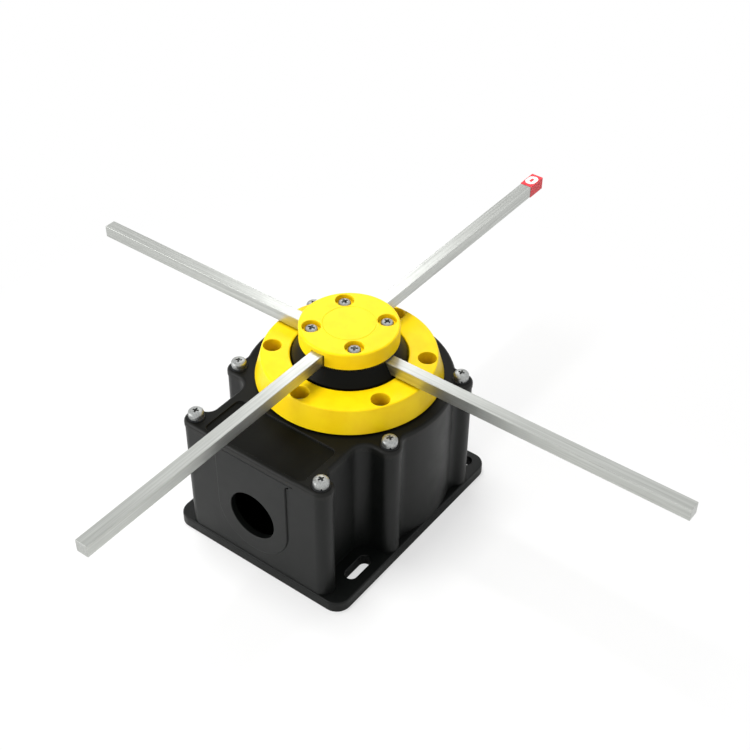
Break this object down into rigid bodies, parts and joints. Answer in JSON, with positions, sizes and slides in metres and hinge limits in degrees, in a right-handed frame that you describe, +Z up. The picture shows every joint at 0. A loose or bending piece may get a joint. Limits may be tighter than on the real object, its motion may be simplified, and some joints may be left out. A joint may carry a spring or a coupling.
{
  "type": "cross limit switch",
  "caption": "Position limit switch with two crossed square rods on a turning head, a yellow collar and cap, and a flange-mounted black housing with a side cable entry.",
  "frame": {"origin": "the point where the turning axis of the head meets the underside of the mounting flange", "axes": "+Z up along the turning axis of the head, -Y towards the side with the cable entry, X across the flange; the lower rod lies along X and the upper rod along Y at rest"},
  "size_m": [0.4283, 0.4283, 0.1304],
  "materials": {
    "housing_black": "moulded, fine texture",
    "lid_black": "moulded, fine texture",
    "signal_yellow": "moulded, satin",
    "rod_steel": "drawn, plated, satin",
    "zinc_screw": "zinc plated",
    "machined_steel": "turned",
    "dark_steel": "oxide black, toothed edge",
    "sheet_steel": "plain sheet",
    "guide_alloy": "machined",
    "brass": "turned",
    "bronze": "sintered",
    "rubber_black": "matt",
    "label_red": "self-adhesive film",
    "label_white": "printed",
    "switch_red": "moulded",
    "cam_white": "moulded"
  },
  "bodies": {
    "housing": {"base_box": "housing_black", "lid": "lid_black", "lid_gasket": "rubber_black", "lid_screws": "zinc_screw", "seal_washers": "rubber_black", "spring_washers": "zinc_screw", "thread_inserts": "brass", "collar_ring": "signal_yellow", "collar_screws": "zinc_screw", "bearing_bush": "bronze", "shaft_seal": "rubber_black", "frame_pillars": "machined_steel", "frame_plate": "sheet_steel", "plate_screws": "zinc_screw", "lower_bush": "bronze", "detent_guides": "guide_alloy", "guide_screws": "zinc_screw", "guide_plugs": "machined_steel", "detent_spring_a": "machined_steel", "detent_spring_b": "machined_steel", "switch_bodies": "switch_red", "switch_plungers": "cam_white", "switch_terminals": "brass", "switch_spacers": "machined_steel", "switch_screws": "zinc_screw"},
    "head": {"hub": "housing_black", "hub_screw": "zinc_screw", "lower_rod": "rod_steel", "clamp_plate": "dark_steel", "upper_rod": "rod_steel", "cap": "signal_yellow", "cap_screws": "zinc_screw", "rod_marker": "label_red", "marker_zero": "label_white", "shaft": "machined_steel", "shaft_key": "machined_steel", "star_wheel": "machined_steel", "cam_upper": "cam_white", "cam_lower": "cam_white", "cam_spacers": "machined_steel", "shaft_clip": "machined_steel"},
    "pin_a": {"detent_pin_a": "machined_steel"},
    "pin_b": {"detent_pin_b": "machined_steel"}
  },
  "joints": [
    {"name": "head_turn", "type": "hinge", "parent": "housing", "child": "head", "pos_m": [0, 0, 0.1], "axis": [0, 0, 1], "continuous": true},
    {"name": "detent_a", "type": "slide", "parent": "housing", "child": "pin_a", "axis": [-1, 0, 0], "range_m": [0, 0.0037], "stiffness_N_per_m": 1500, "springref_m": 0.014, "deforming": ["detent_spring_a"]},
    {"name": "detent_b", "type": "slide", "parent": "housing", "child": "pin_b", "axis": [1, 0, 0], "range_m": [0, 0.0037], "stiffness_N_per_m": 1500, "springref_m": 0.014, "deforming": ["detent_spring_b"]}
  ]
}
